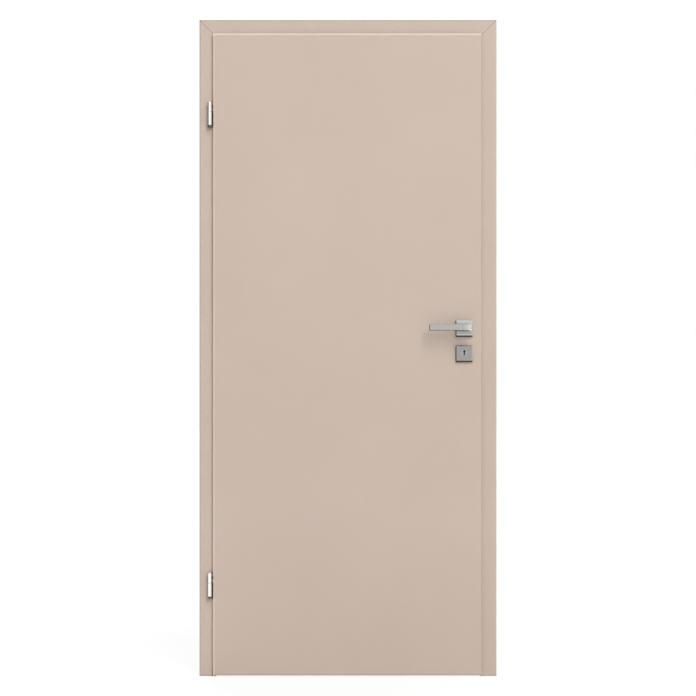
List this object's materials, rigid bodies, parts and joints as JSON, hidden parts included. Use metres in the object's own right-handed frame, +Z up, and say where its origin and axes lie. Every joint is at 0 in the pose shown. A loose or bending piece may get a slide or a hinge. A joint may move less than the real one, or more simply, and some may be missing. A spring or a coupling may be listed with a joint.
{
  "type": "rebated interior door with lining frame",
  "caption": "Plain rebated interior door leaf in a mitred lining frame, with a flat lever handle, square roses, a keyhole and two barrel hinges.",
  "frame": {"origin": "on the wall face of the hinge-side lining, at floor level and half way through the wall", "axes": "+Z up, +X from the hinge side to the lock side, -Y to the side that the leaf opens to"},
  "size_m": [0.938, 0.2115, 2.071],
  "materials": {
    "leaf_laminate": "smooth satin beige laminate on board",
    "frame_laminate": "smooth satin beige laminate on board",
    "seal": "beige soft seal",
    "hinge_nickel": "polished nickel plate",
    "satin_nickel": "satin nickel",
    "lock_steel": "brushed steel",
    "zinc_plate": "zinc plated steel"
  },
  "bodies": {
    "frame": {"hinge_jamb_lining": "frame_laminate", "lock_jamb_lining": "frame_laminate", "head_lining": "frame_laminate", "hinge_front_architrave": "frame_laminate", "lock_front_architrave": "frame_laminate", "head_front_architrave": "frame_laminate", "hinge_back_architrave": "frame_laminate", "lock_back_architrave": "frame_laminate", "head_back_architrave": "frame_laminate", "hinge_jamb_seal": "seal", "lock_jamb_seal": "seal", "head_seal": "seal", "strike_plate": "lock_steel", "upper_hinge_receiver": "zinc_plate", "lower_hinge_receiver": "zinc_plate", "upper_hinge_frame_part": "hinge_nickel", "lower_hinge_frame_part": "hinge_nickel"},
    "leaf": {"leaf_core": "leaf_laminate", "leaf_front_facing": "leaf_laminate", "leaf_back_facing": "leaf_laminate", "upper_hinge_leaf_part": "hinge_nickel", "lower_hinge_leaf_part": "hinge_nickel", "lock_forend": "lock_steel", "lock_case": "zinc_plate", "latch_bolt": "lock_steel", "dead_bolt": "lock_steel", "front_lever_rose": "satin_nickel", "back_lever_rose": "satin_nickel", "front_key_rose": "satin_nickel", "back_key_rose": "satin_nickel", "front_keyhole_insert": "satin_nickel", "back_keyhole_insert": "satin_nickel"},
    "levers": {"front_lever": "satin_nickel", "back_lever": "satin_nickel", "spindle": "lock_steel"}
  },
  "joints": [
    {"name": "leaf_swing", "type": "hinge", "parent": "frame", "child": "leaf", "pos_m": [-0.009, -0.0785, 0], "axis": [0, 0, -1], "range_deg": [0, 170]},
    {"name": "lever_turn", "type": "hinge", "parent": "leaf", "child": "levers", "pos_m": [0.79, -0.0655, 1.097], "axis": [0, -1, 0], "range_deg": [0, 40], "stiffness_Nm_per_rad": 2, "springref_deg": -17.19}
  ]
}
